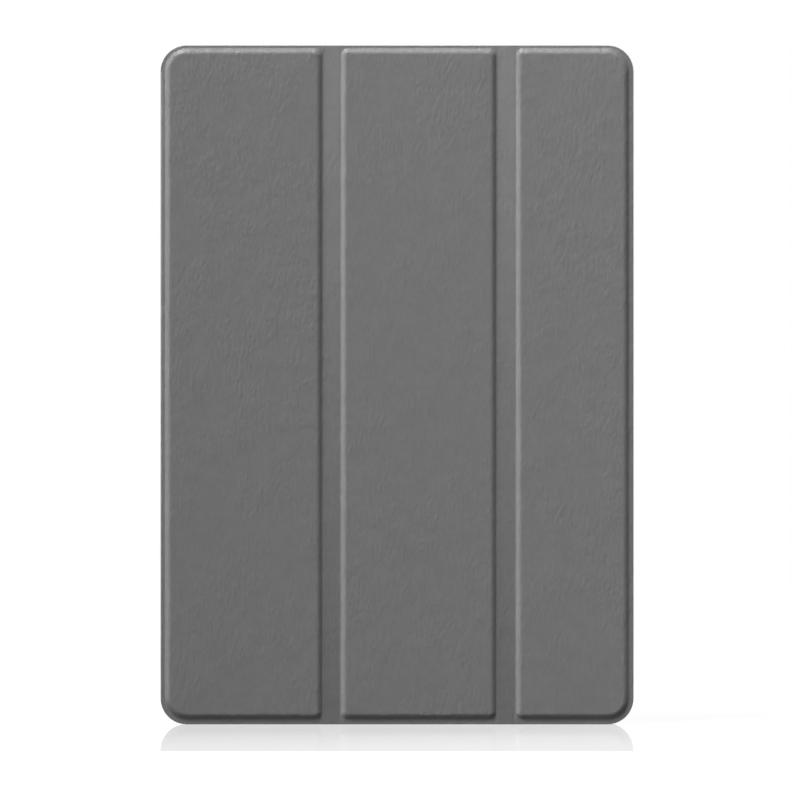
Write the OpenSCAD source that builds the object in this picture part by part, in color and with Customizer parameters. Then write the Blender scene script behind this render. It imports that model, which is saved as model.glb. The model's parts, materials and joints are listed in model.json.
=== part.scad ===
// Tri-fold folio case for a tablet.
// X runs across the case, with the spine at -X. The front cover faces -Y, the back faces +Y.
// Z runs up. The case stands on its bottom edge at z = 0, centred on X and Y.

/* [Tablet] */
// Width of the tablet that the tray holds
tablet_w = 174.1; // [140:0.1:215]
// Height of the tablet
tablet_h = 250.6; // [200:0.1:305]
// Thickness of the tablet
tablet_t = 7.5; // [6:0.1:12]
// Corner radius of the tablet, seen from the front
tablet_r = 8.3; // [5:0.1:12]
// Gap between the tablet and the tray, all round
tablet_clearance = 0.3; // [0.1:0.05:0.5]

/* [Tray] */
// Thickness of the tray's two long side walls
side_wall = 1.1; // [0.8:0.1:2.5]
// Thickness of the tray's top and bottom walls
end_wall = 2.55; // [1:0.05:4]
// Thickness of the tray's back wall
back_wall = 1.2; // [0.8:0.1:2.5]
// Thickness of the lip that keeps the tablet in
lip_t = 0.8; // [0.6:0.1:1.5]
// How far the lip reaches in front of the tablet
lip_reach = 1.4; // [0.6:0.1:2.5]
// Outer corner radius of the whole case
corner_r = 9.8; // [8:0.1:13]
// Bevel along the tray's back edge
back_bevel = 1; // [0.4:0.1:1.2]

/* [Cut-outs] */
// Depth of the wall left behind each edge cut-out, measured from the tablet's back
sill = 1.4; // [0.8:0.1:2.5]
// Length of the charging port cut-out, in the bottom wall
port_len = 15; // [10:1:24]
// Length of each speaker cut-out, in the bottom wall
speaker_len = 24; // [14:1:34]
// Distance from the port to the middle of each speaker cut-out
speaker_offset = 40; // [34:1:50]
// Length of the power button cut-out, in the top wall
power_len = 18; // [12:1:26]
// Distance from the tablet's free side to the middle of the power button
power_inset = 26; // [24:1:40]
// Length of the headphone cut-out, in the top wall
jack_len = 10; // [7:1:14]
// Distance from the tablet's spine side to the middle of the headphone cut-out
jack_inset = 18; // [16:1:30]
// Length of the volume button cut-out, in the free side wall
volume_len = 32; // [20:1:44]
// Distance from the tablet's top to the middle of the volume buttons
volume_inset = 44; // [36:1:70]
// Radius of the camera hole in the back
camera_r = 7; // [5:0.5:9]
// Distance from the tablet's top and free side to the middle of the camera
camera_inset = 14; // [11:0.5:24]
// Radius of the microphone hole beside the camera
mic_r = 1.2; // [0.8:0.1:2]
// Distance from the camera to the microphone hole
mic_offset = 15; // [12:0.5:24]

/* [Cover] */
// Thickness of the leather skin on the cover and the spine
leather_t = 0.6; // [0.4:0.1:1.2]
// Thickness of the leather skin on the back
back_leather_t = 0.8; // [0.4:0.1:1.4]
// Thickness of the microfibre lining
lining_t = 0.5; // [0.3:0.1:1]
// Thickness of the board inside each cover panel
board_t = 1.2; // [0.8:0.1:2.4]
// Width of the panel beside the spine
panel_1_w = 59.6; // [40:0.1:76]
// Width of the fold between the first two panels
fold_1_w = 6.8; // [5.5:0.1:9]
// Width of the middle panel
panel_2_w = 58.9; // [40:0.1:76]
// Width of the fold between the last two panels
fold_2_w = 7.2; // [5.5:0.1:9]
// Flat margin between a raised panel and the case's spine or free side
margin_side = 1.6; // [1.3:0.1:2.5]
// Flat margin above the raised panels
margin_top = 1; // [0.6:0.1:2.5]
// Flat margin below the raised panels
margin_bottom = 1.8; // [0.6:0.1:2.5]
// Corner radius of the raised panels beside a fold
fold_corner_r = 2.8; // [1:0.1:5]
// Width of the rounded edge of a raised panel
bevel_w = 2.9; // [1.5:0.1:3.5]
// Gap between the closed cover and the tray's lip
cover_gap = 0.3; // [0.2:0.05:0.6]
// Flat strip of leather that goes with a panel, beyond its raised edge
cut_margin = 0.5; // [0.3:0.05:1]

/* [Spine] */
// Thickness of the board strip inside the spine
stiffener_t = 0.4; // [0.3:0.1:1]
// Thickness of the spine's lining
spine_lining_t = 0.4; // [0.3:0.1:0.8]
// Gap between the spine and the tray's side wall
spine_gap = 0.3; // [0.2:0.05:0.6]
// Length of leather that bends on the spine side of each crease
crease_leg = 0.95; // [0.6:0.05:1.4]

/* [Magnets] */
// Length of each closure magnet
magnet_len = 14; // [8:1:20]
// Width of each closure magnet
magnet_w = 5; // [3:0.5:8]
// Distance from the free panel's edge to the row of closure magnets
magnet_inset = 7; // [6:0.5:12]
// Radius of the wake magnet
wake_r = 3; // [2:0.5:5]
// Length of each steel keeper plate
keeper_len = 36; // [20:1:50]
// Width of each steel keeper plate
keeper_w = 9; // [5:0.5:14]
// Gap round a magnet or keeper in its pocket
pocket_gap = 0.1; // [0.05:0.05:0.3]
// Board left under a magnet or keeper
pocket_floor = 0.3; // [0.2:0.1:0.5]

/* [Hidden] */
$fn = 64;
leather_grey = [0.44, 0.44, 0.44];
lining_grey = [0.33, 0.33, 0.34];

// Overlap that makes a cut or a union clean
eps = 0.05;
// Overall size
spine_t = leather_t + stiffener_t + spine_lining_t;
pocket_w = tablet_w + 2 * tablet_clearance;
pocket_h = tablet_h + 2 * tablet_clearance;
tray_w = pocket_w + 2 * side_wall;
case_w = tray_w + spine_gap + spine_t;
case_h = pocket_h + 2 * end_wall;
cover_t = leather_t + board_t + lining_t;
case_t = cover_t + cover_gap + lip_t + tablet_t + tablet_clearance + back_wall + back_leather_t;
left = -case_w / 2;
right = case_w / 2;

// Planes from front to back
cover_front = -case_t / 2;
board_front = cover_front + leather_t;
lining_front = cover_front + leather_t + board_t;
web_front = lining_front - leather_t;
lining_back = lining_front + lining_t;
tray_front = lining_back + cover_gap;
pocket_front = tray_front + lip_t;
pocket_back = pocket_front + tablet_t + tablet_clearance;
tray_back = pocket_back + back_wall;
case_back = case_t / 2;

// Across the spine, from the outside in
stiffener_x = left + leather_t;
spine_lining_x = stiffener_x + stiffener_t;
tray_left = left + spine_t + spine_gap;
pocket_left = tray_left + side_wall;
pocket_right = right - side_wall;
pocket_bottom = end_wall;
pocket_top = case_h - end_wall;
pocket_mid_x = (pocket_left + pocket_right) / 2;
// The spine's rigid stretch, and the strips that bend beside it
spine_front = lining_back + crease_leg;
spine_back = tray_back - crease_leg;
spine_bottom = corner_r;
spine_top = case_h - corner_r;
front_cut = left + margin_side - cut_margin;
back_cut = tray_left + cut_margin;

// Raised panels: the left and right foot of each, and its corner radius on each side
panel_3_w = case_w - 2 * margin_side - panel_1_w - fold_1_w - panel_2_w - fold_2_w;
foot_l = [left + margin_side,
          left + margin_side + panel_1_w + fold_1_w,
          right - margin_side - panel_3_w];
foot_r = foot_l + [panel_1_w, panel_2_w, panel_3_w];
outer_r = corner_r - margin_side;
radius_l = [outer_r, fold_corner_r, fold_corner_r];
radius_r = [fold_corner_r, fold_corner_r, outer_r];
// Where the flat leather is divided between the panels and the strips that bend
cut_l = [front_cut, foot_l[1] - cut_margin, foot_l[2] - cut_margin];
cut_r = [foot_r[0] + cut_margin, foot_r[1] + cut_margin, right];
panel_bottom = margin_bottom;
panel_top = case_h - margin_top;
// The board reaches under the rounded edge as far as the leather there stays thick enough
board_inset = bevel_w * 0.8;
// Steps of the rounded edge: [inset, share of the rise]
edge_steps = [[0, 0], [0.22, 0.42], [0.45, 0.76], [0.7, 0.94], [1, 1]];
rise = web_front - cover_front;

// A flat sheet between two planes facing front and back, from an outline in X and Z
module sheet(y_front, y_back) {
    rotate([90, 0, 0]) translate([0, 0, -y_back]) linear_extrude(y_back - y_front) children();
}

// A block between two corners
module block(low, high) {
    translate(low) cube(high - low);
}

// An outline with one radius on its left corners and one on its right corners
module rounded(x0, x1, z0, z1, r_l, r_r) {
    translate([x0 + r_l, z0]) square([x1 - x0 - r_l - r_r, z1 - z0]);
    translate([x0, z0 + r_l]) square([r_l + eps, z1 - z0 - 2 * r_l]);
    translate([x1 - r_r - eps, z0 + r_r]) square([r_r + eps, z1 - z0 - 2 * r_r]);
    for (z = [z0 + r_l, z1 - r_l]) translate([x0 + r_l, z]) circle(r_l);
    for (z = [z0 + r_r, z1 - r_r]) translate([x1 - r_r, z]) circle(r_r);
}

// The stretch of the cover's outline between two lines across it
module cover_outline(x0, x1) {
    intersection() {
        rounded(left, right, 0, case_h, corner_r, corner_r);
        translate([x0, -eps]) square([x1 - x0, case_h + 2 * eps]);
    }
}

// The stretch of the back skin's outline between two lines across it
module back_outline(x0, x1) {
    intersection() {
        rounded(left, right - back_bevel, back_bevel, case_h - back_bevel,
                corner_r - back_bevel, corner_r - back_bevel);
        translate([x0, -eps]) square([x1 - x0, case_h + 2 * eps]);
    }
}

// The tray's outline, drawn in from its edge by an inset
module tray_outline(inset) {
    rounded(tray_left + inset, right - inset, inset, case_h - inset, corner_r - inset, corner_r - inset);
}

// A raised panel's outline, drawn in from its foot by an inset
module panel_outline(i, inset) {
    rounded(foot_l[i] + inset, foot_r[i] - inset, panel_bottom + inset, panel_top - inset,
            max(radius_l[i] - inset, eps), max(radius_r[i] - inset, eps));
}

// The camera and microphone holes through the back
module back_holes(extra) {
    x = pocket_right - tablet_clearance - camera_inset;
    z = pocket_top - tablet_clearance - camera_inset;
    for (hole = [[0, camera_r], [mic_offset, mic_r]])
        translate([x - hole[0], pocket_back - eps, z]) rotate([-90, 0, 0])
            cylinder(r = hole[1] + extra, h = case_back - pocket_back + 2 * eps);
}

// A cut-out in an end wall: open at the front and closed by the sill at the back
module end_notch(x_mid, length, z0) {
    block([x_mid - length / 2, tray_front - eps, z0],
          [x_mid + length / 2, pocket_back - sill, z0 + end_wall + lip_reach + 2 * eps]);
}

module back_shell() {
    bottom_z = -eps;
    top_z = pocket_top - lip_reach - eps;
    color([0.13, 0.13, 0.14]) difference() {
        union() {
            sheet(tray_front, tray_back - back_bevel) tray_outline(0);
            hull() {
                sheet(tray_back - back_bevel - eps, tray_back - back_bevel) tray_outline(0, $fn = 32);
                sheet(tray_back - eps, tray_back) tray_outline(back_bevel, $fn = 32);
            }
        }
        sheet(pocket_front, pocket_back)
            rounded(pocket_left, pocket_right, pocket_bottom, pocket_top,
                    tablet_r + tablet_clearance, tablet_r + tablet_clearance);
        sheet(tray_front - eps, pocket_front + eps)
            rounded(pocket_left + lip_reach, pocket_right - lip_reach,
                    pocket_bottom + lip_reach, pocket_top - lip_reach,
                    tablet_r + tablet_clearance - lip_reach, tablet_r + tablet_clearance - lip_reach);
        end_notch(pocket_mid_x, port_len, bottom_z);
        for (side = [-1, 1]) end_notch(pocket_mid_x + side * speaker_offset, speaker_len, bottom_z);
        end_notch(pocket_right - tablet_clearance - power_inset, power_len, top_z);
        end_notch(pocket_left + tablet_clearance + jack_inset, jack_len, top_z);
        block([pocket_right - lip_reach - eps, tray_front - eps,
               pocket_top - tablet_clearance - volume_inset - volume_len / 2],
              [right + eps, pocket_back - sill,
               pocket_top - tablet_clearance - volume_inset + volume_len / 2]);
        back_holes(0);
    }
}

module back_leather() {
    color(leather_grey) difference() {
        sheet(tray_back, case_back) back_outline(back_cut, right);
        back_holes(0.4);
    }
}

module back_crease_leather() {
    color(leather_grey) {
        sheet(tray_back, case_back) back_outline(left, back_cut);
        block([left, spine_back, spine_bottom], [stiffener_x, tray_back + eps, spine_top]);
    }
}

module back_crease_lining() {
    color(lining_grey)
        block([stiffener_x, spine_back, spine_bottom], [tray_left - spine_gap, tray_back, spine_top]);
}

module spine_leather() {
    color(leather_grey) block([left, spine_front, spine_bottom], [stiffener_x, spine_back, spine_top]);
}

module spine_stiffener() {
    color([0.62, 0.56, 0.46])
        block([stiffener_x, spine_front, spine_bottom], [spine_lining_x, spine_back, spine_top]);
}

module spine_lining() {
    color(lining_grey)
        block([spine_lining_x, spine_front, spine_bottom], [left + spine_t, spine_back, spine_top]);
}

module front_crease_leather() {
    color(leather_grey) {
        sheet(web_front, lining_front) cover_outline(left, front_cut);
        block([left, web_front + eps, spine_bottom], [stiffener_x, spine_front, spine_top]);
    }
}

module front_crease_lining() {
    color(lining_grey) {
        sheet(lining_front, lining_back) cover_outline(stiffener_x, front_cut);
        block([stiffener_x, lining_front + eps, spine_bottom], [front_cut, spine_front, spine_top]);
        block([stiffener_x, lining_back, spine_bottom], [left + spine_t, spine_front, spine_top]);
    }
}

// Leather of one panel: a flat margin and a raised cap that is hollow behind for the board
module panel_leather(i) {
    color(leather_grey) difference() {
        union() {
            sheet(web_front, lining_front) cover_outline(cut_l[i], cut_r[i]);
            hull() {
                for (step = edge_steps)
                    sheet(web_front - step[1] * rise, web_front - step[1] * rise + eps)
                        panel_outline(i, step[0] * bevel_w, $fn = 32);
            }
        }
        sheet(board_front, lining_front + eps) panel_outline(i, board_inset);
    }
}

module panel_lining(i) {
    color(lining_grey) sheet(lining_front, lining_back) cover_outline(cut_l[i], cut_r[i]);
}

module panel_board(i) {
    color([0.62, 0.56, 0.46]) sheet(board_front, lining_front) panel_outline(i, board_inset);
}

module fold_leather(i) {
    color(leather_grey) sheet(web_front, lining_front) cover_outline(cut_r[i], cut_l[i + 1]);
}

module fold_lining(i) {
    color(lining_grey) sheet(lining_front, lining_back) cover_outline(cut_r[i], cut_l[i + 1]);
}

// Heights of the magnets and keepers: evenly spaced pairs, mirrored about the middle
magnet_z = [for (share = [0.14, 0.38, 0.62, 0.86]) case_h * share];
keeper_z = [for (share = [0.2, 0.5, 0.8]) case_h * share];
magnet_x = foot_r[2] - magnet_inset;
keeper_x = foot_l[0] + board_inset + keeper_w;
pocket_t = board_t - pocket_floor;

// Bars that stand along Z, sunk in the front of a board; grown by a gap, they are their pockets
module bars(x, heights, width, length, gap) {
    for (z = heights)
        block([x - width / 2 - gap, board_front - gap / 2, z - length / 2 - gap],
              [x + width / 2 + gap, board_front + pocket_t + gap / 2, z + length / 2 + gap]);
}

// The wake magnet's disc, grown by a gap for its pocket
module wake_disc(gap) {
    translate([magnet_x, board_front - gap / 2, case_h / 2]) rotate([-90, 0, 0])
        cylinder(r = wake_r + gap, h = pocket_t + gap);
}

module panel_1_leather() { panel_leather(0); }
module panel_1_lining() { panel_lining(0); }
module panel_1_board() {
    difference() {
        panel_board(0);
        bars(keeper_x, keeper_z, keeper_w, keeper_len, pocket_gap);
    }
}
module panel_1_keepers() {
    color([0.7, 0.7, 0.72]) bars(keeper_x, keeper_z, keeper_w, keeper_len, 0);
}
module fold_1_leather() { fold_leather(0); }
module fold_1_lining() { fold_lining(0); }

module panel_2_leather() { panel_leather(1); }
module panel_2_board() { panel_board(1); }
module panel_2_lining() { panel_lining(1); }
module fold_2_leather() { fold_leather(1); }
module fold_2_lining() { fold_lining(1); }

module panel_3_leather() { panel_leather(2); }
module panel_3_lining() { panel_lining(2); }
module panel_3_board() {
    difference() {
        panel_board(2);
        bars(magnet_x, magnet_z, magnet_w, magnet_len, pocket_gap);
        wake_disc(pocket_gap);
    }
}
module closure_magnets() {
    color([0.75, 0.75, 0.77]) bars(magnet_x, magnet_z, magnet_w, magnet_len, 0);
}
module wake_magnet() {
    color([0.75, 0.75, 0.77]) wake_disc(0);
}

back_shell();
back_leather();
back_crease_leather();
back_crease_lining();
spine_leather();
spine_stiffener();
spine_lining();
front_crease_leather();
front_crease_lining();
panel_1_leather();
panel_1_board();
panel_1_lining();
panel_1_keepers();
fold_1_leather();
fold_1_lining();
panel_2_leather();
panel_2_board();
panel_2_lining();
fold_2_leather();
fold_2_lining();
panel_3_leather();
panel_3_board();
panel_3_lining();
closure_magnets();
wake_magnet();
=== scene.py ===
# %% [markdown]
# # A tri-fold case for a tablet
# The case is a stiff tray with a leather skin on its back, a narrow spine, and a cover of three raised
# panels. The frame brings the engineered parts at their true places. This script makes what the eye
# meets: leather with soft pressed edges, creases, a microfibre lining and a moulded tray.

# %% Load the frame
import json
import math

import bmesh
import bpy
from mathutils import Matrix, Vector, noise


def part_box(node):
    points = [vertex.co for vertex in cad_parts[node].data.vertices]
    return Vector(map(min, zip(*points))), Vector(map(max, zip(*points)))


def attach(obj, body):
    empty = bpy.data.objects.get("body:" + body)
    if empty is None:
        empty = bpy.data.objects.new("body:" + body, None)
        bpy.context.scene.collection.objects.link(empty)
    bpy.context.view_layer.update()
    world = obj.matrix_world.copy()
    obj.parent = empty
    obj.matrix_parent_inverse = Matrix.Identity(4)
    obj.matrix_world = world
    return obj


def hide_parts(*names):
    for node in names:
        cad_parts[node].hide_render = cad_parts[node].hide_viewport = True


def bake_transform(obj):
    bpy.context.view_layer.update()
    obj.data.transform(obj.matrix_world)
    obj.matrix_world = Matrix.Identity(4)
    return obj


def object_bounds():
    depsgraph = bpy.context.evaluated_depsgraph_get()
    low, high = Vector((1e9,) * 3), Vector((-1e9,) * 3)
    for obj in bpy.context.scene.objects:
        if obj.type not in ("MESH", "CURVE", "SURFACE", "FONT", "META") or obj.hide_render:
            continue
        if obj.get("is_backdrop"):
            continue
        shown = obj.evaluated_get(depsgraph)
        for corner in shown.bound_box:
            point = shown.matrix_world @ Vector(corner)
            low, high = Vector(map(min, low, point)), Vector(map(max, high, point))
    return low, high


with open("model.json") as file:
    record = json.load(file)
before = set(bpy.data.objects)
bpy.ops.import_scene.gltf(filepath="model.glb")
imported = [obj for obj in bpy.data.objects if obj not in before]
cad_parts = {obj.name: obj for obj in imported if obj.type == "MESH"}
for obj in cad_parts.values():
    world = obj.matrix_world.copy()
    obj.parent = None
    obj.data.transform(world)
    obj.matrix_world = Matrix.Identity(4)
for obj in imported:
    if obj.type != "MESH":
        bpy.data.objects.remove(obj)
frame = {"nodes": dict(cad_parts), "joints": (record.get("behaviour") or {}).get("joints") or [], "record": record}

MM = 0.001
cad_low, cad_high = (list(v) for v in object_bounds())
print("CAD box, mm:", [round(v / MM, 2) for v in (*cad_low, *cad_high)])

# %% [markdown]
# ## Planes and lines of the case
# Seen from above, the real cover is a stack: leather, board, lining. Between the panels there is no board,
# and leather lies on lining. The places could be typed in as numbers, but then a new size would tear the
# looks from the engineering. So every place is read from the frame, and only soft details are named here.

# %% Read the planes and lines
CASE_LEFT, CASE_RIGHT, CASE_TOP = cad_low[0], cad_high[0], cad_high[2]
COVER_FRONT, CASE_BACK = cad_low[1], cad_high[1]
WEB_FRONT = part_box("fold_1_leather")[0].y
LINING_FRONT, LINING_BACK = (v.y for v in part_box("panel_1_lining"))
TRAY_FRONT, TRAY_BACK = (v.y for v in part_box("back_shell"))
TRAY_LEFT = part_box("back_shell")[0].x
SPINE_LOW, SPINE_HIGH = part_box("spine_leather")
SPINE_LINING_LOW, SPINE_LINING_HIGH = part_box("spine_lining")
BACK_LOW, BACK_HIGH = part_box("back_leather")
CORNER_R = SPINE_LOW.z
BACK_BEVEL = BACK_LOW.z
PANELS = ("panel_1", "panel_2", "panel_3")
EDGE_W = 2.9 * MM
BOARD_INSET = 0.8 * EDGE_W
FOLD_CORNER_R = 2.8 * MM
CUT_EDGE_R = 0.2 * MM
EDGE_HOLD = 0.1 * MM
print("leather web", round((LINING_FRONT - WEB_FRONT) / MM, 2), "mm, corner", round(CORNER_R / MM, 2), "mm")

# %% [markdown]
# ## Rings and lofts
# A pressed panel has a rectangular outline with rounded corners that shrinks as it rises. A box with a
# bevel gives one radius everywhere, and a sculpt gives a different edge each time. A loft is exact: a
# list of rings, each a rounded rectangle with the same number of points, joined by strips of quads. The
# shape of the edge is then just the list of how far in and how high each ring lies. A point close beside
# the end of each corner keeps the smooth shading of the corner from leaking into the straight side.

# %% Make one ring
ARC, ALONG, ACROSS = 10, 64, 16
SUPPORT = 0.4 * MM


def ring(x0, x1, z0, z1, r_left, r_right, y, left_side=None):
    """Rounded rectangle at depth y, from its bottom left corner, anticlockwise seen from the front.
    left_side moves the straight part of its left side, where a crease is cut out of the outline."""
    corners = ((x0 + r_left, z0 + r_left, r_left, 180), (x1 - r_right, z0 + r_right, r_right, 270),
               (x1 - r_right, z1 - r_right, r_right, 0), (x0 + r_left, z1 - r_left, r_left, 90))
    points = []
    for k, (cx, cz, r, turn) in enumerate(corners):
        for j in range(ARC + 1):
            a = math.radians(turn + 90 * j / ARC)
            points.append((cx + r * math.cos(a), y, cz + r * math.sin(a)))
        nx, nz, nr, nturn = corners[(k + 1) % 4]
        a = math.radians(nturn)
        start, end = Vector(points[-1]), Vector((nx + nr * math.cos(a), y, nz + nr * math.sin(a)))
        count = ACROSS if k % 2 == 0 else ALONG
        beside = SUPPORT / max((end - start).length, 4 * SUPPORT)
        for j in range(1, count):
            p = start.lerp(end, beside + (1 - 2 * beside) * (j - 1) / (count - 2))
            if k == 3 and left_side is not None:
                p = Vector((left_side, y, start.z + (end.z - start.z) * (j - 1) / (count - 2)))
            points.append(tuple(p))
    return points


# %% Join rings into a closed solid
SAME_POINT = 1e-7


def loft(name, rings):
    """Solid from a list of rings, closed by a flat face at each end, with its faces outwards."""
    bm = bmesh.new()
    loops = [[bm.verts.new(p) for p in points] for points in rings]
    for a, b in zip(loops, loops[1:]):
        for j in range(len(a)):
            k = (j + 1) % len(a)
            bm.faces.new((a[j], a[k], b[k], b[j]))
    bm.faces.new(loops[0])
    bm.faces.new(loops[-1])
    bmesh.ops.remove_doubles(bm, verts=bm.verts, dist=SAME_POINT)
    bmesh.ops.recalc_face_normals(bm, faces=bm.faces)
    mesh = bpy.data.meshes.new(name)
    bm.to_mesh(mesh)
    bm.free()
    obj = bpy.data.objects.new(name, mesh)
    bpy.context.scene.collection.objects.link(obj)
    return obj


def smooth(obj, below=32):
    """Smooth shading, with an edge kept sharp where its faces meet at more than below degrees."""
    obj.data.polygons.foreach_set("use_smooth", [True] * len(obj.data.polygons))
    obj.data.set_sharp_from_angle(angle=math.radians(below))
    return obj


# %% [markdown]
# ## One way to write node trees
# A finish is a tree of nodes, drawn by hand or built in code. Code gets long when every link is a line of
# its own. Here a socket is wrapped in a small class, so that sums and products are written as they are
# in maths, and any other node comes from one method. The same method serves Geometry Nodes.

# %% A graph and its values
class Value:
    """An output socket that can be used in a sum or a product."""

    def __init__(self, graph, socket):
        self.graph, self.socket = graph, socket

    def _with(self, operation, *values):
        return self.graph.node("ShaderNodeMath", {"operation": operation}, dict(enumerate(values)))

    def __add__(self, other):
        return self._with("ADD", self, other)

    def __radd__(self, other):
        return self._with("ADD", other, self)

    def __sub__(self, other):
        return self._with("SUBTRACT", self, other)

    def __rsub__(self, other):
        return self._with("SUBTRACT", other, self)

    def __mul__(self, other):
        return self._with("MULTIPLY", self, other)

    def __rmul__(self, other):
        return self._with("MULTIPLY", other, self)

    def clamped(self, low, high):
        """0 at low and below, 1 at high and above, and smooth between."""
        settings = {"interpolation_type": "SMOOTHSTEP"}
        return self.graph.node("ShaderNodeMapRange", settings, {"Value": self, 1: low, 2: high})


class Graph:
    """A node tree that is built by calling node()."""

    def __init__(self, tree):
        self.tree = tree
        self.tree.nodes.clear()

    def node(self, kind, settings=None, inputs=None, output=0):
        """Adds a node. settings are its properties, inputs its sockets by name or number."""
        made = self.tree.nodes.new(kind)
        for key, value in (settings or {}).items():
            setattr(made, key, value)
        for key, value in (inputs or {}).items():
            if isinstance(value, Value):
                self.tree.links.new(value.socket, made.inputs[key])
            else:
                made.inputs[key].default_value = value
        return Value(self, made.outputs[output]) if len(made.outputs) else made


# %% [markdown]
# ## Leather
# The skin is a coated leather: a flat grey with a fine pressed grain. It has small upright wrinkles, a
# few creases that wander between them, and pebbles under a millimetre wide, all deeper in some patches
# than in others. An image would repeat, so noise makes them. A crease is drawn where a slow noise passes
# through its middle value, which gives a line that never crosses itself. Everything reads Object
# coordinates, so the grain runs on from one piece to the next, because they all lie in the same frame.

# %% Leather material
def new_material(name):
    material = bpy.data.materials.new(name)
    material.use_nodes = True
    return material, Graph(material.node_tree)


def finish_material(graph, shader):
    graph.node("ShaderNodeOutputMaterial", None, {"Surface": shader})


def object_coords(graph, scale=(1, 1, 1)):
    """Object coordinates, stretched by a scale on each axis."""
    coords = graph.node("ShaderNodeTexCoord", output=3)
    return graph.node("ShaderNodeMapping", None, {"Vector": coords, "Scale": scale})


def mix_colour(graph, factor, first, second):
    """Colour between two others."""
    settings = {"data_type": "RGBA"}
    return graph.node("ShaderNodeMix", settings, {0: factor, 6: (*first, 1), 7: (*second, 1)}, output=2)


def fractal(graph, coords, size, detail, roughness):
    """Noise whose largest features are about size metres across."""
    inputs = {"Vector": coords, "Scale": 1 / size, "Detail": detail, "Roughness": roughness}
    return graph.node("ShaderNodeTexNoise", None, inputs)


LEATHER_LIGHT, LEATHER_DARK = (0.166,) * 3, (0.152,) * 3
PATCH, WRINKLE, CREASE, PEBBLE, MOTTLE = 14 * MM, 1.3 * MM, 3.6 * MM, 0.8 * MM, 6 * MM
GRAIN_DEPTH = 0.06 * MM


def make_leather():
    material, g = new_material("pressed_leather")
    even = object_coords(g)
    upright = object_coords(g, (1, 1, 0.5))
    patch = fractal(g, even, PATCH, 3, 0.6).clamped(0.40, 0.64)
    wrinkle = fractal(g, upright, WRINKLE, 2, 0.5)
    level = fractal(g, upright, CREASE, 3, 0.55) - 0.5
    crease = (level * level).clamped(0.0, 0.004)
    cells = {"Vector": even, "Scale": 1 / PEBBLE, "Randomness": 1.0}
    pebble = g.node("ShaderNodeTexVoronoi", {"feature": "SMOOTH_F1"}, cells)
    height = wrinkle * (1.3 + 2.0 * patch) + crease * (0.06 + 0.26 * patch) + pebble * 0.16
    bump = g.node("ShaderNodeBump", None, {"Strength": 1.0, "Distance": GRAIN_DEPTH, "Height": height})
    mottle = fractal(g, even, MOTTLE, 4, 0.65)
    shade = (mottle * 0.55 + wrinkle * 0.45).clamped(0.38, 0.62)
    colour = mix_colour(g, shade, LEATHER_DARK, LEATHER_LIGHT)
    roughness = 0.46 + 0.10 * wrinkle - 0.05 * mottle
    shader = g.node("ShaderNodeBsdfPrincipled", None, {
        "Base Color": colour, "Roughness": roughness, "Normal": bump,
        "Specular IOR Level": 0.5, "Coat Weight": 0.06, "Coat Roughness": 0.35})
    finish_material(g, shader)
    return material


leather = make_leather()

# %% [markdown]
# ## Microfibre, tray plastic and what lies inside
# The lining is a knitted microfibre with a short nap: rough, with a faint sheen, and lighter where the
# nap was brushed one way. Hair would give it true fibres, but they are too short to be seen one by one,
# so a bump and a sheen read the same. The tray is moulded in a spark-eroded tool, which leaves a fine
# even orange peel. The boards, keepers and magnets are sealed in, and still get their own finish.

# %% Lining material
LINING_LIGHT, LINING_DARK = (0.118, 0.118, 0.122), (0.082, 0.082, 0.086)


def make_lining():
    material, g = new_material("microfibre")
    even = object_coords(g)
    brushed = object_coords(g, (1.6, 1, 0.5))
    nap = fractal(g, even, 0.35 * MM, 4, 0.7)
    fibres = fractal(g, brushed, 0.8 * MM, 3, 0.6)
    brush = fractal(g, brushed, 22 * MM, 2, 0.5)
    height = nap * 0.7 + fibres * 0.5
    bump = g.node("ShaderNodeBump", None, {"Strength": 0.55, "Distance": 0.15 * MM, "Height": height})
    shade = (brush * 0.5 + nap * 0.3 + fibres * 0.2).clamped(0.34, 0.66)
    colour = mix_colour(g, shade, LINING_DARK, LINING_LIGHT)
    shader = g.node("ShaderNodeBsdfPrincipled", None, {
        "Base Color": colour, "Roughness": 0.86 + 0.12 * nap, "Normal": bump,
        "Specular IOR Level": 0.2, "Sheen Weight": 0.35, "Sheen Roughness": 0.5})
    finish_material(g, shader)
    return material


lining = make_lining()


# %% Tray, board and metal materials
def make_tray_plastic():
    material, g = new_material("moulded_plastic")
    even = object_coords(g)
    peel = fractal(g, even, 0.4 * MM, 3, 0.6)
    flow = fractal(g, even, 30 * MM, 2, 0.5)
    bump = g.node("ShaderNodeBump", None, {"Strength": 0.4, "Distance": 0.06 * MM, "Height": peel})
    colour = mix_colour(g, flow.clamped(0.3, 0.7), (0.017, 0.017, 0.019), (0.024, 0.024, 0.026))
    roughness = 0.46 + 0.14 * peel + 0.06 * flow
    shader = g.node("ShaderNodeBsdfPrincipled", None, {
        "Base Color": colour, "Roughness": roughness, "Normal": bump})
    finish_material(g, shader)
    return material


def make_board():
    material, g = new_material("grey_board")
    fibres = fractal(g, object_coords(g, (1, 1, 3)), 0.7 * MM, 4, 0.7)
    bump = g.node("ShaderNodeBump", None, {"Strength": 0.4, "Distance": 0.08 * MM, "Height": fibres})
    colour = mix_colour(g, fibres.clamped(0.35, 0.65), (0.27, 0.22, 0.155), (0.40, 0.335, 0.25))
    shader = g.node("ShaderNodeBsdfPrincipled", None, {
        "Base Color": colour, "Roughness": 0.88 + 0.08 * fibres, "Normal": bump})
    finish_material(g, shader)
    return material


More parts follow.
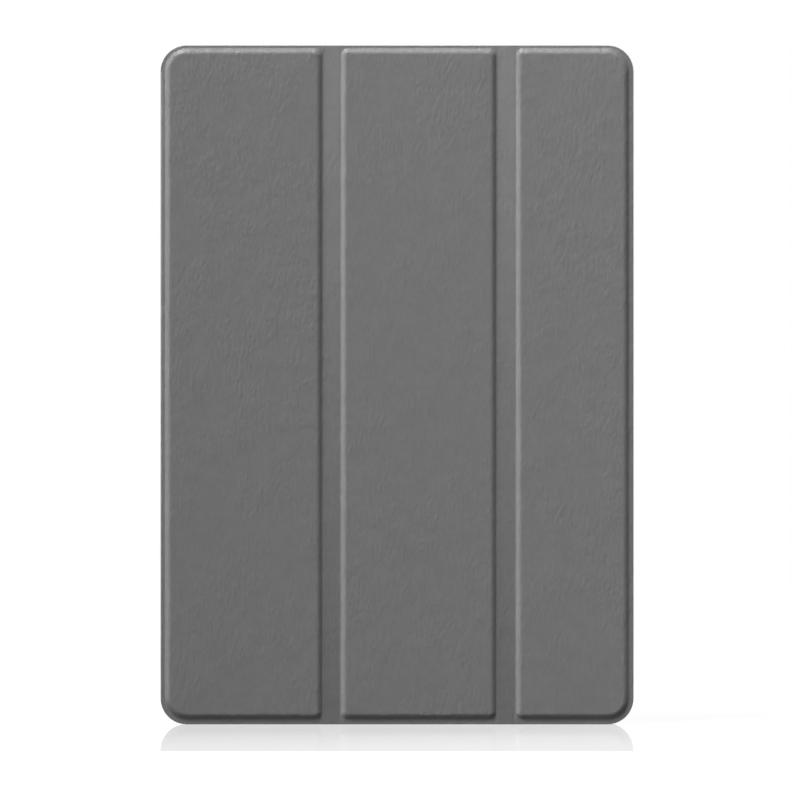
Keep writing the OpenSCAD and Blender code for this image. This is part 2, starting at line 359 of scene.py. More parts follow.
def make_metal(name, colour, dark, along, base_roughness):
    """Metal with a fine grain. The smaller along is, the longer its lines run up the metal."""
    material, g = new_material(name)
    lines = fractal(g, object_coords(g, (1, 1, along)), 0.2 * MM, 3, 0.6)
    tint = mix_colour(g, lines.clamped(0.3, 0.7), dark, colour)
    bump = g.node("ShaderNodeBump", None, {"Strength": 0.2, "Distance": 0.02 * MM, "Height": lines})
    shader = g.node("ShaderNodeBsdfPrincipled", None, {
        "Base Color": tint, "Roughness": base_roughness + 0.12 * lines, "Normal": bump, "Metallic": 1.0})
    finish_material(g, shader)
    return material


tray_plastic = make_tray_plastic()
grey_board = make_board()
keeper_steel = make_metal("rolled_steel", (0.50, 0.50, 0.52), (0.40, 0.40, 0.42), 0.04, 0.28)
magnet_plating = make_metal("nickel_plating", (0.60, 0.58, 0.54), (0.52, 0.50, 0.47), 0.9, 0.16)

# %% [markdown]
# ## The raised panels
# Each panel is one skin of leather pressed over a board. At its foot it turns up from the flat web in a
# tight hollow, it is steepest about a fifth of the way in, and then it dies out slowly into the top. So
# the easiest thing to write down is not the height but the slope, and the heights are its running sum.
# The top is very slightly crowned, and neither the top nor the foot line is perfectly even, because the
# board is glued by hand. Both come from smooth noise of a few hundredths of a millimetre, which the eye
# reads as real leather. The inside is hollow, for the board.

# %% Shape of the raised edge
EDGE_STEPS = 22
CROWN = 0.10 * MM
CROWN_REACH = 9 * MM
TOP_INSETS = [inset * MM for inset in (3.4, 4.6, 6.4, 9.0, 12.5, 17.0)]


def edge_slope(t):
    """Relative slope of the edge at share t of its width."""
    return t ** 0.6 * (1 - t) ** 2.2


def edge_profile(rise):
    """(inset from the foot, height above the web) of each ring, from the web up to the top."""
    slopes = [edge_slope((k + 0.5) / EDGE_STEPS) for k in range(EDGE_STEPS)]
    heights = [0.0]
    for slope in slopes:
        heights.append(heights[-1] + slope / sum(slopes) * rise)
    return [(EDGE_W * k / EDGE_STEPS, height) for k, height in enumerate(heights)]


profile = edge_profile(WEB_FRONT - COVER_FRONT)
steepest = max((b[1] - a[1]) / (b[0] - a[0]) for a, b in zip(profile, profile[1:]))
print("steepest part of the panels' edge:", round(math.degrees(math.atan(steepest))), "degrees")


# %% Unevenness of hand-glued leather
WAVE_DEPTH, WAVE_LENGTH = 0.035 * MM, 19 * MM
FOOT_WAVE, FOOT_WAVE_LENGTH = 0.07 * MM, 17 * MM
UPWARD_SHARE = 0.6
WAVE_START = 0.01 * MM
WAVE_FULL = 0.3 * MM


def uneven(obj, foot_of):
    """Moves the top of a raised panel a little in and out, and its foot line a little sideways."""
    for v in obj.data.vertices:
        height = WEB_FRONT - v.co.y
        if height < WAVE_START:
            continue
        inset = foot_of(v.co)
        top = min(max(inset / EDGE_W, 0), 1)
        p = Vector((v.co.x, 0, v.co.z))
        v.co.y += WAVE_DEPTH * top * noise.noise(p / WAVE_LENGTH + Vector((3, 5, 7)))
        sideways = FOOT_WAVE * (1 - top) * min(height / WAVE_FULL, 1)
        v.co.x += sideways * noise.noise(p / FOOT_WAVE_LENGTH)
        v.co.z += sideways * UPWARD_SHARE * noise.noise(p / FOOT_WAVE_LENGTH + Vector((11, 0, 2)))


# %% Outlines of a panel
CUT_CORNER_R = 0.02 * MM
LEAST_CORNER_R = 0.35 * MM


def panel_lines(name):
    """Outline of a panel's foot, and the two lines where its flat leather is cut."""
    board_low, board_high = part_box(name + "_board")
    flat_low, flat_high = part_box(name + "_lining")
    return {"foot": (board_low.x - BOARD_INSET, board_high.x + BOARD_INSET),
            "height": (board_low.z - BOARD_INSET, board_high.z + BOARD_INSET),
            "cut": (flat_low.x, flat_high.x), "board_front": board_low.y,
            "first": name == PANELS[0], "last": name == PANELS[-1]}


def flat_ring(lines, inset, y):
    """Ring on the cut outline of the flat leather: its open sides drawn in, its cut sides kept."""
    x0, x1 = lines["cut"]
    side, left, right = None, CUT_CORNER_R, CUT_CORNER_R
    if lines["first"]:
        side, x0, left = x0, CASE_LEFT + inset, CORNER_R - inset
    if lines["last"]:
        x1, right = CASE_RIGHT - inset, CORNER_R - inset
    return ring(x0, x1, inset, CASE_TOP - inset, left, right, y, side)


def raised_ring(lines, inset, y):
    """Ring on the outline of the raised panel, drawn in from its foot."""
    (x0, x1), (z0, z1) = lines["foot"], lines["height"]
    left = CORNER_R - (x0 - CASE_LEFT) if lines["first"] else FOLD_CORNER_R
    right = CORNER_R - (CASE_RIGHT - x1) if lines["last"] else FOLD_CORNER_R
    left, right = (max(r - inset, LEAST_CORNER_R) for r in (left, right))
    return ring(x0 + inset, x1 - inset, z0 + inset, z1 - inset, left, right, y)


# %% Build the leather of each panel
def rounded_edge(radius, steps=4):
    """(inset, depth) of a quarter round, from the side to the face."""
    for k in range(steps + 1):
        a = math.pi / 2 * k / steps
        yield radius * (1 - math.cos(a)), radius * math.sin(a)


def make_panel_leather(name):
    lines = panel_lines(name)
    rings = [raised_ring(lines, BOARD_INSET, y) for y in (lines["board_front"], LINING_FRONT)]
    for inset, depth in reversed(list(rounded_edge(CUT_EDGE_R))):
        rings.append(flat_ring(lines, inset, LINING_FRONT - CUT_EDGE_R + depth))
    for inset, depth in rounded_edge(CUT_EDGE_R):
        rings.append(flat_ring(lines, inset, WEB_FRONT + CUT_EDGE_R - depth))
    rings.append(flat_ring(lines, CUT_EDGE_R + EDGE_HOLD, WEB_FRONT))
    for inset, height in profile:
        rings.append(raised_ring(lines, inset, WEB_FRONT - height))
    for inset in TOP_INSETS:
        crown = CROWN * (1 - math.exp(-(inset - EDGE_W) / CROWN_REACH))
        rings.append(raised_ring(lines, inset, COVER_FRONT - crown))
    obj = loft(name + "_skin", rings)
    (x0, x1), (z0, z1) = lines["foot"], lines["height"]
    uneven(obj, lambda p: min(p.x - x0, x1 - p.x, p.z - z0, z1 - p.z))
    obj.data.materials.append(leather)
    smooth(obj)
    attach(obj, name)
    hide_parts(name + "_leather")
    return obj


panel_skins = [make_panel_leather(name) for name in PANELS]
print("panel skins:", [len(o.data.polygons) for o in panel_skins], "faces")

# %% [markdown]
# ## Linings of the panels
# The lining is cut to the same outline as the leather and pressed against it, so the two edges show as
# a pair of fine rounded layers all round the cover. Solidify on the leather's back would follow its
# hollow for the board. The rings of the flat leather are already there, so they make the lining too.

# %% Build the lining of each panel
def make_panel_lining(name):
    lines = panel_lines(name)
    rings = []
    for inset, depth in reversed(list(rounded_edge(CUT_EDGE_R))):
        rings.append(flat_ring(lines, inset, LINING_FRONT + CUT_EDGE_R - depth))
    for inset, depth in rounded_edge(CUT_EDGE_R):
        rings.append(flat_ring(lines, inset, LINING_BACK - CUT_EDGE_R + depth))
    rings.append(flat_ring(lines, CUT_EDGE_R + EDGE_HOLD, LINING_BACK))
    obj = loft(name + "_microfibre", rings)
    obj.data.materials.append(lining)
    smooth(obj)
    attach(obj, name)
    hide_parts(name + "_lining")
    return obj


panel_linings = [make_panel_lining(name) for name in PANELS]
print("panel linings:", [len(o.data.polygons) for o in panel_linings], "faces")

# %% [markdown]
# ## Strips that bend
# Folds and creases are flat strips with one section all along. That is a rule, so Geometry Nodes make
# them: a path across the strip carries a thin rounded rectangle as tall as the case. The path is cut
# into many short steps, because a strip can only bend where it has edges. A strip that turns a corner
# has its path rounded first.

# %% The strip tree
ROUND_STEPS, EDGE_ROUND_STEPS = 7, 4


def make_strip_tree():
    """A path across the strip, rounded at its corners, that carries a section as tall as the strip."""
    tree = bpy.data.node_groups.new("bending_strip", "GeometryNodeTree")
    face = tree.interface
    face.new_socket("Path", in_out="INPUT", socket_type="NodeSocketGeometry")
    for label in ("Thickness", "Height", "Edge Radius", "Corner Radius"):
        face.new_socket(label, in_out="INPUT", socket_type="NodeSocketFloat")
    face.new_socket("Steps", in_out="INPUT", socket_type="NodeSocketInt")
    face.new_socket("Material", in_out="INPUT", socket_type="NodeSocketMaterial")
    face.new_socket("Strip", in_out="OUTPUT", socket_type="NodeSocketGeometry")
    g = Graph(tree)
    given = g.node("NodeGroupInput")
    pick = {s.name: Value(g, s) for s in given.socket.node.outputs if s.name}
    rounded = g.node("GeometryNodeFilletCurve", {"mode": "POLY"}, {
        "Curve": pick["Path"], "Count": ROUND_STEPS, "Radius": pick["Corner Radius"],
        "Limit Radius": True})
    path = g.node("GeometryNodeResampleCurve", None, {"Curve": rounded, "Count": pick["Steps"]})
    upright = g.node("GeometryNodeSetCurveNormal", {"mode": "Z_UP"}, {"Curve": path})
    section = g.node("GeometryNodeCurvePrimitiveQuadrilateral", None, {
        "Width": pick["Thickness"], "Height": pick["Height"]})
    soft = g.node("GeometryNodeFilletCurve", {"mode": "POLY"}, {
        "Curve": section, "Count": EDGE_ROUND_STEPS, "Radius": pick["Edge Radius"],
        "Limit Radius": True})
    body = g.node("GeometryNodeCurveToMesh", None, {
        "Curve": upright, "Profile Curve": soft, "Fill Caps": True})
    real = g.node("GeometryNodeRealizeInstances", None, {"Geometry": body})
    made = g.node("GeometryNodeSetMaterial", None, {"Geometry": real, "Material": pick["Material"]})
    g.node("NodeGroupOutput", None, {"Strip": made})
    return tree


strip_tree = make_strip_tree()


# %% Run the tree on a path
def make_strip(name, path, thickness, low, high, material, steps, corner=0.0, edge=CUT_EDGE_R):
    """Strip on a path of (x, y) points, from z = low to z = high."""
    curve = bpy.data.curves.new(name + "_path", "CURVE")
    curve.dimensions = "3D"
    spline = curve.splines.new("POLY")
    spline.points.add(len(path) - 1)
    for point, (x, y) in zip(spline.points, path):
        point.co = (x, y, (low + high) / 2, 1)
    holder = bpy.data.objects.new(name + "_path", curve)
    bpy.context.scene.collection.objects.link(holder)
    modifier = holder.modifiers.new("strip", "NODES")
    modifier.node_group = strip_tree
    values = {"Thickness": thickness, "Height": high - low, "Edge Radius": edge,
              "Corner Radius": corner, "Steps": steps, "Material": material}
    for item in strip_tree.interface.items_tree:
        if item.name in values:
            modifier[item.identifier] = values[item.name]
    bpy.context.view_layer.update()
    graph = bpy.context.evaluated_depsgraph_get()
    mesh = bpy.data.meshes.new_from_object(holder.evaluated_get(graph))
    mesh.name = name
    bpy.data.objects.remove(holder)
    bpy.data.curves.remove(curve)
    obj = bpy.data.objects.new(name, mesh)
    bpy.context.scene.collection.objects.link(obj)
    bm = bmesh.new()
    bm.from_mesh(mesh)
    bmesh.ops.remove_doubles(bm, verts=bm.verts, dist=SAME_POINT)
    bmesh.ops.recalc_face_normals(bm, faces=bm.faces)
    bm.to_mesh(mesh)
    bm.free()
    size = [round(v / MM, 2) for v in obj.dimensions]
    print(name, "measures", size, "mm with", len(mesh.polygons), "faces")
    return smooth(obj)


# %% [markdown]
# ## The two folds
# A fold is a bare web of leather on lining between two raised panels. It could be two rigid halves that
# meet in a line, but leather bends in a curve, so each layer turns little by little across the web.

# %% Build the folds
FOLD_STEPS = 41


def make_fold(k, layer, y_front, y_back, material):
    """Layer of fold k: a flat strip between its two panels."""
    node = f"fold_{k}_{layer}"
    low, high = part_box(node)
    y = (y_front + y_back) / 2
    name = f"fold_{k}_{layer}_strip"
    path = [(low.x, y), (high.x, y)]
    obj = make_strip(name, path, y_back - y_front, 0, CASE_TOP, material, FOLD_STEPS)
    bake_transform(obj)
    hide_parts(node)


for k in (1, 2):
    make_fold(k, "leather", WEB_FRONT, LINING_FRONT, leather)
    make_fold(k, "lining", LINING_FRONT, LINING_BACK, lining)

# %% [markdown]
# ## The spine and its creases
# The leather runs on round both edges of the spine. One long strip could bend all the way round, but a
# piece bends between two bodies only, so there is a strip for each crease and one for the spine. The
# spine is stiff, so its skin and lining simply ride on it, and the skin is turned over both ends of the
# stiffener, which would show otherwise. A crease turns a tight corner at rest and opens out as the
# cover does.

# %% Build the spine
SPINE_LEATHER_T = SPINE_HIGH.x - SPINE_LOW.x
SPINE_LINING_T = SPINE_LINING_HIGH.x - SPINE_LINING_LOW.x
SPINE_STEPS, SPINE_EDGE_R = 4, 0.1 * MM
TURNED_EDGE = 0.35 * MM
TURN_STEPS = 6


def make_spine_skin():
    """The skin of the spine, turned over both ends of the stiffener."""
    x0, x1, x2 = SPINE_LOW.x, SPINE_HIGH.x, SPINE_LINING_LOW.x
    z0, z1, h = SPINE_LOW.z, SPINE_HIGH.z, TURNED_EDGE
    turn = [math.pi / 2 * k / TURN_STEPS for k in range(TURN_STEPS + 1)]
    outline = [(x0 + h - h * math.cos(a), z0 - h * math.sin(a)) for a in turn]
    outline += [(x2, z0 - h), (x2, z0), (x1, z0), (x1, z1), (x2, z1), (x2, z1 + h)]
    outline += [(x0 + h - h * math.cos(a), z1 + h * math.sin(a)) for a in reversed(turn)]
    rings = [[(x, y, z) for x, z in outline] for y in (SPINE_LOW.y, SPINE_HIGH.y)]
    obj = loft("spine_skin", rings)
    obj.data.materials.append(leather)
    return smooth(obj)


def place_on_spine(obj, node):
    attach(obj, "spine")
    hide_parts(node)


place_on_spine(make_spine_skin(), "spine_leather")
middle_x = (SPINE_LINING_LOW.x + SPINE_LINING_HIGH.x) / 2
spine_path = [(middle_x, SPINE_LINING_LOW.y), (middle_x, SPINE_LINING_HIGH.y)]
spine_microfibre = make_strip("spine_microfibre", spine_path, SPINE_LINING_T,
                              SPINE_LOW.z, SPINE_HIGH.z, lining, SPINE_STEPS, edge=SPINE_EDGE_R)
place_on_spine(spine_microfibre, "spine_lining")

# %% Build the creases
joints = {j["name"]: Vector(j["pos_m"]) for j in frame["joints"]}
LINING_T = LINING_BACK - LINING_FRONT
CREASE_CORNER, CREASE_EDGE_R = 0.4 * MM, 0.04 * MM
SKIN_STEPS, LINING_STEPS = 19, 9


def make_crease(name, node, axis, path, start, end, is_leather):
    """Crease on a path of (x, y) points. start and end are offsets from its joint's axis, and are not used."""
    thickness, steps = (SPINE_LEATHER_T, SKIN_STEPS) if is_leather else (LINING_T, LINING_STEPS)
    material = leather if is_leather else lining
    obj = make_strip(name, path, thickness, SPINE_LOW.z, SPINE_HIGH.z, material, steps,
                     CREASE_CORNER, CREASE_EDGE_R)
    start, end = ((axis.x + x, axis.y + y, 0) for x, y in (start, end))
    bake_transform(obj)
    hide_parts(node)


front_axis, back_axis = joints["front_crease"], joints["back_crease"]
skin_x = (SPINE_LOW.x + SPINE_HIGH.x) / 2
skin_y, back_skin_y = (WEB_FRONT + LINING_FRONT) / 2, CASE_BACK - SPINE_LEATHER_T / 2
lining_x = SPINE_LINING_LOW.x
front_cut = panel_lines("panel_1")["cut"][0]
make_crease("front_crease_skin", "front_crease_leather", front_axis,
            [(skin_x, SPINE_LOW.y), (skin_x, skin_y), (front_cut, skin_y)],
            (-0.78 * MM, 0.78 * MM), (0.21 * MM, -0.21 * MM), True)
make_crease("front_crease_microfibre", "front_crease_lining", front_axis,
            [(lining_x, SPINE_LOW.y), (lining_x, LINING_BACK)],
            (0, 1.2 * MM), (0, LINING_BACK - front_axis.y), False)
make_crease("back_crease_skin", "back_crease_leather", back_axis,
            [(BACK_LOW.x, back_skin_y), (skin_x, back_skin_y), (skin_x, SPINE_HIGH.y)],
            (0.53 * MM, 0.53 * MM), (-0.7 * MM, -0.7 * MM), True)
make_crease("back_crease_microfibre", "back_crease_lining", back_axis,
            [(lining_x, TRAY_BACK), (lining_x, SPINE_HIGH.y)],
            (0, TRAY_BACK - back_axis.y), (0, SPINE_HIGH.y - back_axis.y), False)

# %% [markdown]
# ## Cutting holes
# Cut-outs in a moulded tray have a small chamfer where they meet the outside, and rounded inner corners.
# A bevel could be run over the cut afterwards, but it stumbles where a cut meets the tray's own rounds.
# A Boolean with a cutter that already has both is cleaner.

# %% Cutters
CHAMFER = 0.35 * MM
NOTCH_R = 1.3 * MM
PAST = 1 * MM
NOTCH_PAST_LIP = 3 * MM
SLIVER = 1e-6
HOLE_SIDES, SMALL_HOLE_SIDES = 96, 32


def round_cutter(name, centre, radius, y_in, y_out, sides=HOLE_SIDES):
    """Cylinder along Y, from before y_in to behind y_out, where it widens by the chamfer."""
    turn = [2 * math.pi * k / sides for k in range(sides)]
    rings = []
    for y, r in ((y_in - PAST, radius), (y_out - CHAMFER, radius), (y_out, radius + CHAMFER),
                 (y_out + PAST, radius + CHAMFER + PAST)):
        rings.append([(centre[0] + r * math.cos(a), y, centre[1] + r * math.sin(a)) for a in turn])
    return loft(name, rings)


def notch_cutter(name, low, high, along, outward):
    """Cutter for a notch in a tray wall. along is the axis through the wall (0 or 2), outward its sign."""
    across = 2 - along
    face = {0: CASE_RIGHT, 2: CASE_TOP if outward > 0 else 0.0}[along]
    inner = low[along] if outward > 0 else high[along]
    stops = ((inner - outward * PAST, 0), (face - outward * CHAMFER, 0), (face, CHAMFER),
             (face + outward * PAST, CHAMFER + PAST))
    rings = []
    for place, grow in stops:
        flat = ring(low[across] - grow, high[across] + grow, TRAY_FRONT - NOTCH_PAST_LIP,
                    high[1] + grow, NOTCH_R, NOTCH_R, 0)
        points = []
        for u, _, v in flat:
            p = [0, v, 0]
            p[across], p[along] = u, place
            points.append(tuple(p))
        rings.append(points)
    return loft(name, rings)


def cut(obj, cutters):
    """Takes the cutters out of an object, and leaves it a plain mesh without slivers."""
    for cutter in cutters:
        modifier = obj.modifiers.new("cut", "BOOLEAN")
        modifier.operation, modifier.solver, modifier.object = "DIFFERENCE", "EXACT", cutter
    bpy.context.view_layer.update()
    graph = bpy.context.evaluated_depsgraph_get()
    mesh = bpy.data.meshes.new_from_object(obj.evaluated_get(graph))
    obj.modifiers.clear()
    obj.data = mesh
    for cutter in cutters:
        bpy.data.objects.remove(cutter)
    bm = bmesh.new()
    bm.from_mesh(mesh)
    bmesh.ops.dissolve_degenerate(bm, edges=bm.edges, dist=SLIVER)
    bmesh.ops.triangulate(bm, faces=[f for f in bm.faces if len(f.verts) > 4])
    bm.to_mesh(mesh)
    bm.free()
    return obj


# %% [markdown]
# ## The tray
# The tray is one moulding: a thin back with rounded edges, low walls, and a lip that snaps over the
# tablet's front edge. A box with a smaller box cut out of it would have the walls but not the rounds.
# So it is lofted too: its rings run from the middle of the back, round the outside, over the lip and
# down into the pocket. The notches for the buttons, the plug and the speakers stand where the frame's
# openings say.

# %% Sizes of the tray
SIDE_WALL, END_WALL = 1.1 * MM, 2.55 * MM
BACK_WALL, LIP_T, LIP_REACH = 1.2 * MM, 0.8 * MM, 1.4 * MM
POCKET_R = 8.6 * MM
LIP_EDGE_R, FRONT_EDGE_R, FLOOR_R = 0.25 * MM, 0.3 * MM, 0.6 * MM
POCKET_FRONT, POCKET_BACK = TRAY_FRONT + LIP_T, TRAY_BACK - BACK_WALL
openings = {o["name"]: o["box_m"] for o in frame["record"]["physics"]["openings"]}
NOTCH_CLEARANCE = 0.15 * MM
CAMERA_R, MIC_R = 7 * MM, 1.2 * MM
MIC_OFFSET = 15 * MM
NOTCHES = (("charging_port", 2, -1), ("speaker_spine_side", 2, -1), ("speaker_free_side", 2, -1),
           ("power_button", 2, 1), ("headphone_jack", 2, 1), ("volume_buttons", 0, 1))
CAMERA = [(openings["camera_hole"][0][k] + openings["camera_hole"][1][k]) / 2 for k in (0, 2)]
MIC = (CAMERA[0] - MIC_OFFSET, CAMERA[1])
print("camera hole at", [round(v / MM, 1) for v in CAMERA], "mm;", len(NOTCHES), "notches in the walls")


# %% Rings of the tray
TRAY_ROUND = 6


def tray_ring(inset, y):
    return ring(TRAY_LEFT + inset, CASE_RIGHT - inset, inset, CASE_TOP - inset,
                CORNER_R - inset, CORNER_R - inset, y)


def pocket_ring(inset, y):
    return ring(TRAY_LEFT + SIDE_WALL + inset, CASE_RIGHT - SIDE_WALL - inset,
                END_WALL + inset, CASE_TOP - END_WALL - inset, POCKET_R - inset, POCKET_R - inset, y)


def tray_rings():
    """From the back, round the outside, over the lip and down to the floor of the pocket."""
    rings = [tray_ring(BACK_BEVEL + EDGE_HOLD, TRAY_BACK)]
    for inset, depth in reversed(list(rounded_edge(BACK_BEVEL, TRAY_ROUND))):
        rings.append(tray_ring(inset, TRAY_BACK - BACK_BEVEL + depth))
    for inset, depth in rounded_edge(FRONT_EDGE_R, TRAY_ROUND):
        rings.append(tray_ring(inset, TRAY_FRONT + FRONT_EDGE_R - depth))
    for inset, depth in reversed(list(rounded_edge(LIP_EDGE_R, TRAY_ROUND))):
        rings.append(pocket_ring(LIP_REACH - inset, TRAY_FRONT + LIP_EDGE_R - depth))
    rings.append(pocket_ring(LIP_REACH, POCKET_FRONT))
    rings.append(pocket_ring(0, POCKET_FRONT))
    rings.append(pocket_ring(0, POCKET_BACK - FLOOR_R - EDGE_HOLD))
    for inset, depth in rounded_edge(FLOOR_R, TRAY_ROUND):
        rings.append(pocket_ring(inset, POCKET_BACK - FLOOR_R + depth))
    rings.append(pocket_ring(FLOOR_R + 2 * EDGE_HOLD, POCKET_BACK))
    return rings


# %% Cut and finish the tray
TRAY_SHARP = 20


def tray_cutters():
    """Cutters for the notches in the walls and the two round holes in the back."""
    cutters = []
    for name, along, outward in NOTCHES:
        low, high = (list(p) for p in openings[name])
        across = 2 - along
        low[across] -= NOTCH_CLEARANCE
        high[across] += NOTCH_CLEARANCE
        high[1] += NOTCH_CLEARANCE
        cutters.append(notch_cutter(name, low, high, along, outward))
    cutters.append(round_cutter("camera_cut", CAMERA, CAMERA_R, POCKET_BACK, TRAY_BACK))
    cutters.append(round_cutter("mic_cut", MIC, MIC_R, POCKET_BACK, TRAY_BACK, SMALL_HOLE_SIDES))
    return cutters


tray = cut(loft("moulded_tray", tray_rings()), tray_cutters())
tray.data.materials.clear()
tray.data.materials.append(tray_plastic)
smooth(tray, TRAY_SHARP)
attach(tray, "tray")
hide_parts("back_shell")
print("tray:", len(tray.data.polygons), "faces")

# %% [markdown]
# ## The back skin
# The leather on the back is a flat sheet glued inside the tray's rounded edge, with a rounded rim, and
# with a bevelled hole round the camera and a small one for the microphone. It could be a copy of the
# tray's back face made thick with Solidify, but a loft rounds the rim in the same step.

# %% Build the back skin
BACK_EDGE_R, BACK_ROUND = 0.35 * MM, 5
HOLE_MARGIN = 0.4 * MM


def back_ring(inset, y, within=0.0):
    """Ring on the back skin's outline. The crease strip takes the straight part of its spine side.
    within keeps a ring a small step inside another in the same plane there too."""
    r = CORNER_R - BACK_BEVEL - inset - within
    return ring(CASE_LEFT + inset, BACK_HIGH.x - inset, BACK_LOW.z + inset, BACK_HIGH.z - inset,
                r, r, y, BACK_LOW.x + within)


def make_back_skin():
    rings = [back_ring(0, TRAY_BACK)]
    for inset, depth in rounded_edge(BACK_EDGE_R, BACK_ROUND):
        rings.append(back_ring(inset, CASE_BACK - BACK_EDGE_R + depth))
    rings.append(back_ring(BACK_EDGE_R + EDGE_HOLD, CASE_BACK, EDGE_HOLD))
    obj = loft("back_skin", rings)
    rims = ((CAMERA, CAMERA_R, HOLE_SIDES), (MIC, MIC_R, SMALL_HOLE_SIDES))
    cut(obj, [round_cutter("rim", centre, radius + HOLE_MARGIN, TRAY_BACK, CASE_BACK, sides)
              for centre, radius, sides in rims])
    obj.data.materials.clear()
    obj.data.materials.append(leather)
    smooth(obj)
    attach(obj, "tray")
    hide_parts("back_leather")
    return obj


back_skin = make_back_skin()
print("back skin:", len(back_skin.data.polygons), "faces")

# %% [markdown]
# ## What stays from the frame
# The boards, the spine's stiffener, the keepers and the magnets are sealed between leather and lining.
# They could be built again with rounded edges, but nobody sees them until the case is taken apart.
# Their engineered shapes are right as they are, and they only need their own finish.

# %% Finish the inner parts
inner = {"panel_1_board": grey_board, "panel_2_board": grey_board, "panel_3_board": grey_board,
         "spine_stiffener": grey_board, "panel_1_keepers": keeper_steel,
         "closure_magnets": magnet_plating, "wake_magnet": magnet_plating}
for node, material in inner.items():
    obj = frame["nodes"][node]
    obj.data.materials.clear()
    obj.data.materials.append(material)
print("kept from the frame:", ", ".join(inner))

# %% [markdown]
# ## The floor
# The case stands on a white floor with a faint gloss, which mirrors its foot and ends a short way in
# front of it. A floor lit to white would need more light than the case can take. So what the camera
# sees of the floor glows by itself, and what the other rays meet is a dull grey that throws little
# light back up on the case.

# %% The floor
FLOOR_SIZE = 30
WHITE = (1, 1, 1, 1)
FLOOR_PAINT = (0.12, 0.12, 0.12, 1)
FLOOR_GLOW = 0.90
FLOOR_ROUGHNESS = 0.03
GLOSS_SHARE, GLOSS_FADE = 0.385, 0.15
GLOSS_REACH, GLOSS_EDGE = 0.23, 0.004
PLAIN_FROM, PLAIN_TO = 0.5, 1.0


def make_floor():
    bpy.ops.mesh.primitive_plane_add(size=FLOOR_SIZE, location=(0, 0, 0))
    obj = bpy.context.object
    obj.name = "floor"
    material, g = new_material("white_floor")
    forward = g.node("ShaderNodeSeparateXYZ", None, {0: object_coords(g)}, output=1) * -1
    reach = forward.clamped(GLOSS_REACH, GLOSS_REACH + GLOSS_EDGE)
    fade = forward.clamped(0, GLOSS_REACH)
    gloss_share = (GLOSS_SHARE - GLOSS_FADE * fade) * (1 - reach)
    paint = g.node("ShaderNodeBsdfDiffuse", None, {"Color": FLOOR_PAINT})
    glow = g.node("ShaderNodeEmission", None, {"Color": WHITE, "Strength": FLOOR_GLOW})
    white = g.node("ShaderNodeAddShader", None, {0: paint, 1: glow})
    gloss = g.node("ShaderNodeBsdfGlossy", None, {"Color": WHITE, "Roughness": FLOOR_ROUGHNESS})
    near_case = g.node("ShaderNodeMixShader", None, {0: gloss_share, 1: white, 2: gloss})
    away = g.node("ShaderNodeVectorMath", {"operation": "LENGTH"}, {0: object_coords(g)}, output=1)
    plain = g.node("ShaderNodeEmission", None, {"Color": WHITE, "Strength": 1.0})
    seen = g.node("ShaderNodeMixShader", None, {
        0: away.clamped(PLAIN_FROM, PLAIN_TO), 1: near_case, 2: plain})
    unseen = g.node("ShaderNodeBsdfDiffuse", None, {"Color": FLOOR_PAINT})
    camera_ray = g.node("ShaderNodeLightPath")
    surface = g.node("ShaderNodeMixShader", None, {0: camera_ray, 1: unseen, 2: seen})
    finish_material(g, surface)
    obj.data.materials.append(material)
    obj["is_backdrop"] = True
    print("floor:", FLOOR_SIZE, "m wide; its gloss reaches", round(GLOSS_REACH / MM), "mm forward")


make_floor()

# %% [markdown]
# ## Light and camera
# Raised edges only show where light rakes over them. One big light from the front would be soft but
# flat, so two lights share the work. A small one hangs high in front on the left and draws the light
# line along the top edges. A large one stands low on the left and draws the softer lines down the left
# edges. Both leave the right and bottom edges dark. A weak light fills the right side, and another
# lights the back. The camera is far away with a long lens, which shows the case almost without
# perspective.

# %% The world
AMBIENT = 0.14


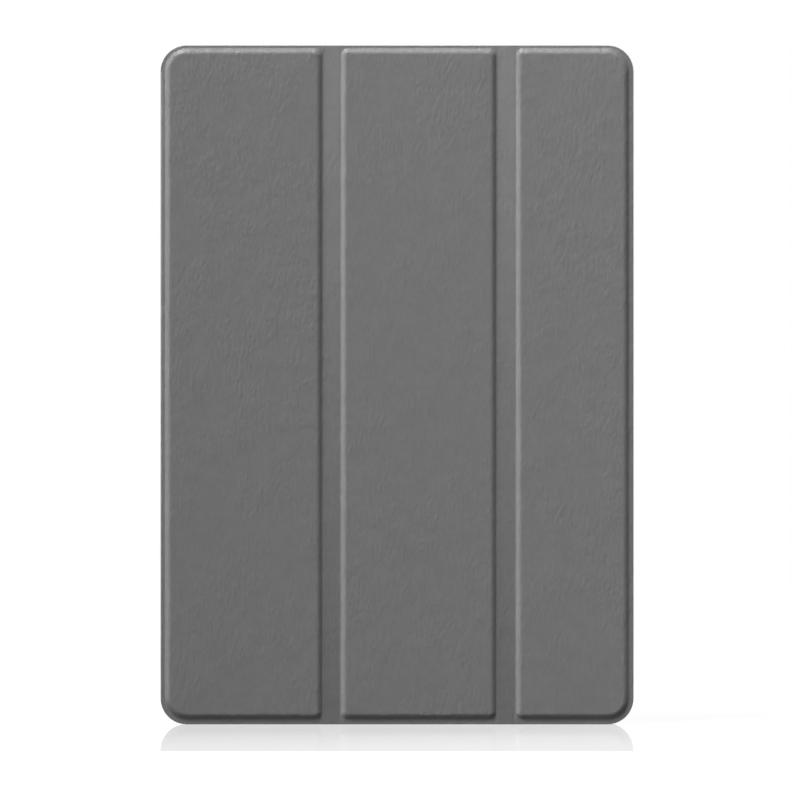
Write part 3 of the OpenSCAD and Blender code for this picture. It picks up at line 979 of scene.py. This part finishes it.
def make_world():
    """Dim all round for light, but white where the camera or a gloss looks at it."""
    world = bpy.data.worlds.new("studio")
    bpy.context.scene.world = world
    world.use_nodes = True
    g = Graph(world.node_tree)
    dim = g.node("ShaderNodeBackground", None, {"Color": WHITE, "Strength": AMBIENT})
    white = g.node("ShaderNodeBackground", None, {"Color": WHITE, "Strength": 1.0})
    path = g.node("ShaderNodeLightPath")
    outputs = path.socket.node.outputs
    seen = g.node("ShaderNodeMath", {"operation": "MAXIMUM"}, {
        0: Value(g, outputs["Is Camera Ray"]), 1: Value(g, outputs["Is Glossy Ray"])})
    sky = g.node("ShaderNodeMixShader", None, {0: seen, 1: dim, 2: white})
    g.node("ShaderNodeOutputWorld", None, {"Surface": sky})


make_world()
print("light from all round:", AMBIENT)


# %% The lamps
def add_lamp(name, place, aim, size, watts, spread=180):
    """Square soft light that looks from its place at its aim, and that the camera doesn't see."""
    data = bpy.data.lights.new(name, "AREA")
    data.shape, data.size, data.energy, data.spread = "SQUARE", size, watts, math.radians(spread)
    obj = bpy.data.objects.new(name, data)
    bpy.context.scene.collection.objects.link(obj)
    obj.location = place
    obj.rotation_euler = (Vector(aim) - Vector(place)).to_track_quat("-Z", "Y").to_euler()
    obj.visible_camera = False
    print(name, "lamp:", size, "m wide,", watts, "W")


MIDDLE = (0, 0, CASE_TOP / 2)
RIGHT_OF_CASE = (0.42, 0, 0.22)
add_lamp("top_key", (-0.84, -1.06, 2.52), RIGHT_OF_CASE, 0.6, 6.8, 40)
add_lamp("left_key", (-2.91, -1.32, 0.92), MIDDLE, 1.4, 61)
add_lamp("fill", (1.6, -1.8, 0.9), MIDDLE, 1.2, 4.5)
add_lamp("back", (1.3, 1.7, 1.2), MIDDLE, 1.2, 46)

# %% The camera
CAMERA_DISTANCE = 3.0
CAMERA_X = -0.4 * MM
CAMERA_DROP = 4.2 * MM
FRAME_HEIGHT = 298.9 * MM
SENSOR = 36
camera = bpy.data.objects.new("camera", bpy.data.cameras.new("camera"))
bpy.context.scene.collection.objects.link(camera)
camera.data.sensor_width = SENSOR
camera.data.lens = SENSOR * CAMERA_DISTANCE / FRAME_HEIGHT
camera.data.clip_end = 100
camera.location = (CAMERA_X, COVER_FRONT - CAMERA_DISTANCE, CASE_TOP / 2 - CAMERA_DROP)
camera.rotation_euler = (math.radians(90), 0, 0)
bpy.context.scene.camera = camera
bpy.context.scene.view_settings.view_transform = "Standard"
print("lens:", round(camera.data.lens), "mm")
